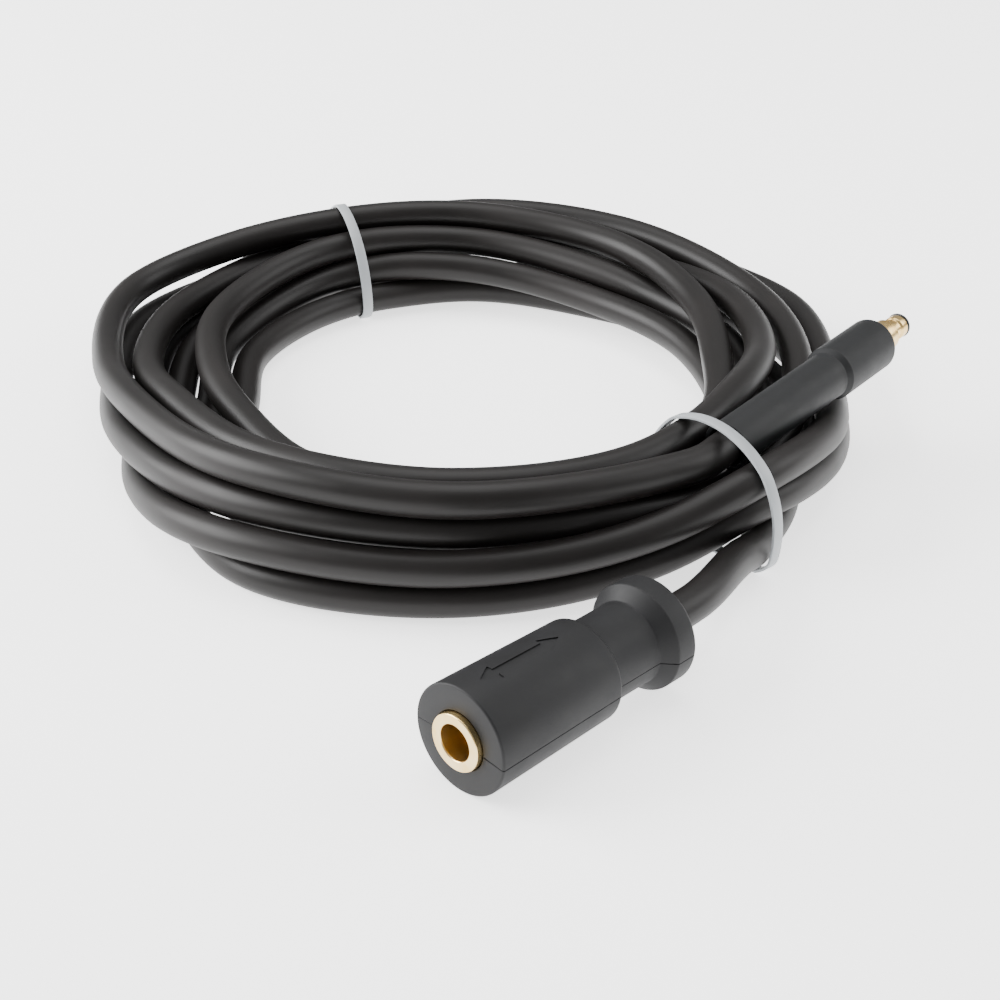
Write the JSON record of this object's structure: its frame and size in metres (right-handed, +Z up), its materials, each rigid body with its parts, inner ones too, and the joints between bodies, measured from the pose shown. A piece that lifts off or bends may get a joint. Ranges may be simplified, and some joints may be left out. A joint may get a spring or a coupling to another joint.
{
  "type": "pressure washer hose",
  "caption": "Coiled black high-pressure hose held by cable ties, with a rubber-covered quick coupling at its start and a brass O-ring plug in a long bend guard at its end.",
  "frame": {"origin": "under the middle of the whole hose's box, at the floor that it lies on", "axes": "+Z up from the floor; the coupling lies parallel to Y with its mouth towards -Y"},
  "size_m": [0.3858, 0.3666, 0.0561],
  "materials": {
    "hose_rubber": "satin black, smooth",
    "moulded_rubber": "matte charcoal, moulded",
    "brass": "turned, lightly polished",
    "nitrile": "satin black",
    "nylon": "natural nylon, slightly translucent"
  },
  "bodies": {
    "hose_and_fittings": {"hose": "hose_rubber", "brass_socket": "brass", "bend_guard": "moulded_rubber", "brass_plug": "brass", "o_ring": "nitrile", "front_cable_tie": "nylon", "back_cable_tie": "nylon"},
    "sliding_cover": {"coupling_cover": "moulded_rubber"}
  },
  "joints": [
    {"name": "cover_slide", "type": "slide", "parent": "hose_and_fittings", "child": "sliding_cover", "axis": [0, 1, 0], "range_m": [0, 0.008], "stiffness_N_per_m": 600}
  ]
}
